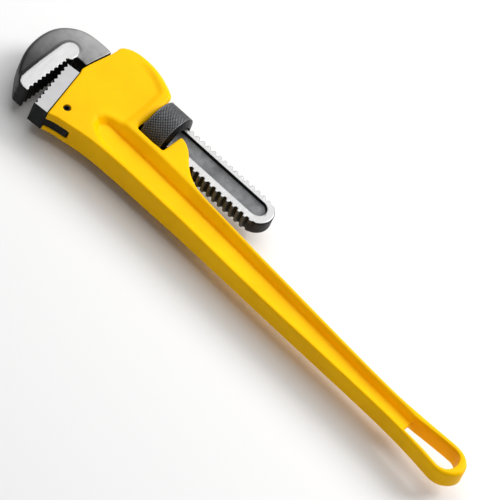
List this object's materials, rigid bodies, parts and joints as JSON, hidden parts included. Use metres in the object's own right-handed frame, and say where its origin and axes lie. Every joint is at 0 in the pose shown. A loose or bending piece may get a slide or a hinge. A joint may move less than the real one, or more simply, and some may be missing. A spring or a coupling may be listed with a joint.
{
  "type": "pipe wrench",
  "caption": "Straight heavy-duty pipe wrench: cast ribbed handle with housing, toothed heel jaw, sliding hook jaw on a threaded shank and a knurled adjusting nut.",
  "frame": {"origin": "bottom centre of the bounding box; the tool lies on its side, its nut's lowest point at z = 0", "axes": "+X runs from the grip to the jaws along the threaded shank, +Y towards the handle's spine and the open side of the jaws, +Z across the thickness, up out of the upper face"},
  "size_m": [0.5348, 0.1218, 0.0472],
  "materials": {
    "handle_casting": "glossy yellow enamel over a ribbed casting",
    "heel_jaw": "ground steel",
    "heel_jaw_pin": "blackened spring steel",
    "hook_jaw": "forged steel, dark, ground beside the teeth",
    "adjusting_nut": "blackened, knurled",
    "flat_spring": "blued spring steel",
    "coil_spring": "spring wire",
    "spring_rivet": "plain steel"
  },
  "bodies": {
    "handle": {"handle_casting": "handle_casting", "heel_jaw": "heel_jaw", "heel_jaw_pin": "heel_jaw_pin"},
    "spring_pack": {"flat_spring": "flat_spring", "coil_spring": "coil_spring", "spring_rivet": "spring_rivet"},
    "nut": {"adjusting_nut": "adjusting_nut"},
    "hook": {"hook_jaw": "hook_jaw"}
  },
  "joints": [
    {"name": "jaw_rock", "type": "hinge", "parent": "handle", "child": "spring_pack", "pos_m": [0.133, -0.02045, 0.0236], "axis": [0, 0, 1], "range_deg": [-1.8, 1.2], "stiffness_Nm_per_rad": 30},
    {"name": "nut_spin", "type": "hinge", "parent": "spring_pack", "child": "nut", "pos_m": [0.133, -0.02045, 0.0236], "axis": [-1, 0, 0], "range_deg": [-45, 4597]},
    {"name": "jaw_travel", "type": "slide", "parent": "spring_pack", "child": "hook", "axis": [1, 0, 0], "range_m": [-0.0008, 0.083]}
  ],
  "couplings": [
    {"joint": "nut_spin", "follows": "jaw_travel", "rad_per_m": 966.64}
  ]
}
